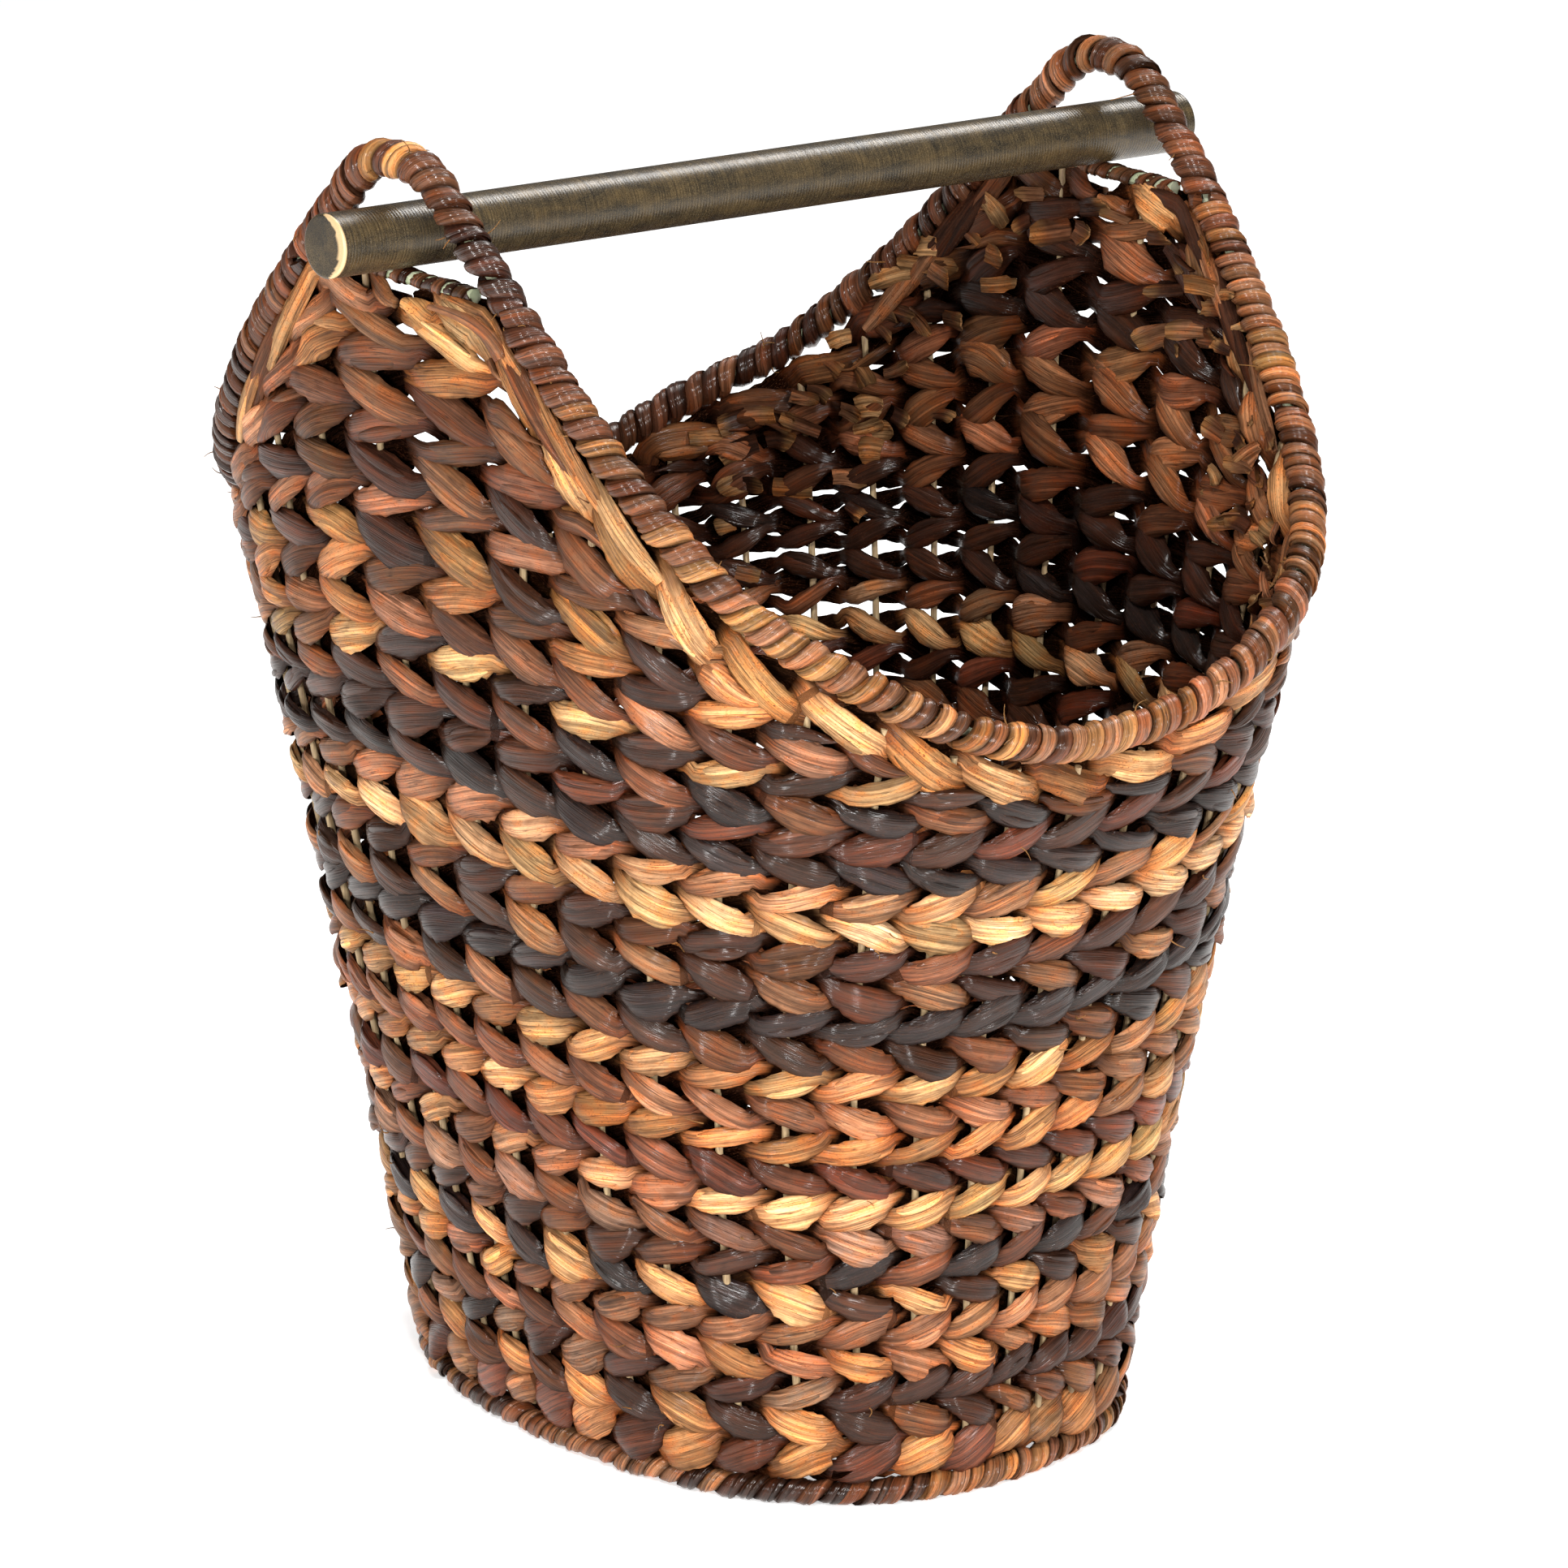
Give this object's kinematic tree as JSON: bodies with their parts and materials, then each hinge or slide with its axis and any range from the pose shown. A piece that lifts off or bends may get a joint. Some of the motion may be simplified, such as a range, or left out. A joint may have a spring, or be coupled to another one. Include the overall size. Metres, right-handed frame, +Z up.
{
  "type": "log basket",
  "caption": "Oval woven log basket, narrow at the foot, with two peaked ends whose loops hold a round wooden carrying bar.",
  "frame": {"origin": "on the floor, under the middle of the basket", "axes": "+Z up; X along the carrying bar, the short way of the oval, with the taller ear at -X; Y along the long way of the oval, with the low dips at -Y and +Y"},
  "size_m": [0.4472, 0.4174, 0.5497],
  "materials": {
    "leaf_dark": "dried leaf, dyed near black, semi-gloss",
    "leaf_brown": "dried leaf, mid brown, semi-gloss",
    "leaf_red": "dried leaf, red brown, semi-gloss",
    "leaf_tan": "dried leaf, golden tan with dark speckles",
    "rim_leaf": "leaf strips wound tight, semi-gloss",
    "stake": "pale peeled rattan, matte",
    "frame_wire": "steel wire with a pale green coat",
    "bar_paint": "dark bronze paint with fine turned rings, worn at the ends"
  },
  "bodies": {
    "basket": {"border_row_back": "leaf_tan", "border_row_front": "leaf_tan", "course_01_inner": "leaf_brown", "course_01_outer": "leaf_brown", "course_02_inner": "leaf_brown", "course_02_outer": "leaf_brown", "course_03_inner": "leaf_brown", "course_03_outer": "leaf_brown", "course_04_inner": "leaf_brown", "course_04_outer": "leaf_brown", "course_05_inner": "leaf_brown", "course_05_outer": "leaf_brown", "course_06_inner": "leaf_brown", "course_06_outer": "leaf_brown", "course_07_inner": "leaf_brown", "course_07_outer": "leaf_brown", "course_08_inner": "leaf_dark", "course_08_outer": "leaf_dark", "course_09_inner": "leaf_dark", "course_09_outer": "leaf_dark", "course_10_inner": "leaf_dark", "course_10_outer": "leaf_dark", "course_11_inner": "leaf_dark", "course_11_outer": "leaf_dark", "ear_left_inner": "leaf_red", "ear_left_outer": "leaf_red", "ear_right_inner": "leaf_red", "ear_right_outer": "leaf_red", "floor_panel": "leaf_brown", "foot_core": "frame_wire", "foot_wrap": "rim_leaf", "rim_core": "frame_wire", "rim_wrap_back": "rim_leaf", "rim_wrap_front": "rim_leaf", "rim_wrap_loop_left": "rim_leaf", "rim_wrap_loop_right": "rim_leaf", "sill_wire_left": "frame_wire", "sill_wire_right": "frame_wire", "stake_long_01": "stake", "stake_long_02": "stake", "stake_long_03": "stake", "stake_long_04": "stake", "stake_long_05": "stake", "stake_long_06": "stake", "stake_long_07": "stake", "stake_long_08": "stake", "stake_long_09": "stake", "stake_long_10": "stake", "stake_short_01": "stake", "stake_short_02": "stake", "stake_short_03": "stake", "stake_short_04": "stake", "stake_short_05": "stake", "stake_short_06": "stake", "stake_short_07": "stake", "stake_short_08": "stake", "stake_short_09": "stake", "stake_short_10": "stake"},
    "bar": {"handle_bar": "bar_paint"}
  },
  "joints": [
    {"name": "bar_turn", "type": "hinge", "parent": "basket", "child": "bar", "pos_m": [0, 0, 0.5048], "axis": [0.9989, 0, -0.0479], "continuous": true}
  ]
}
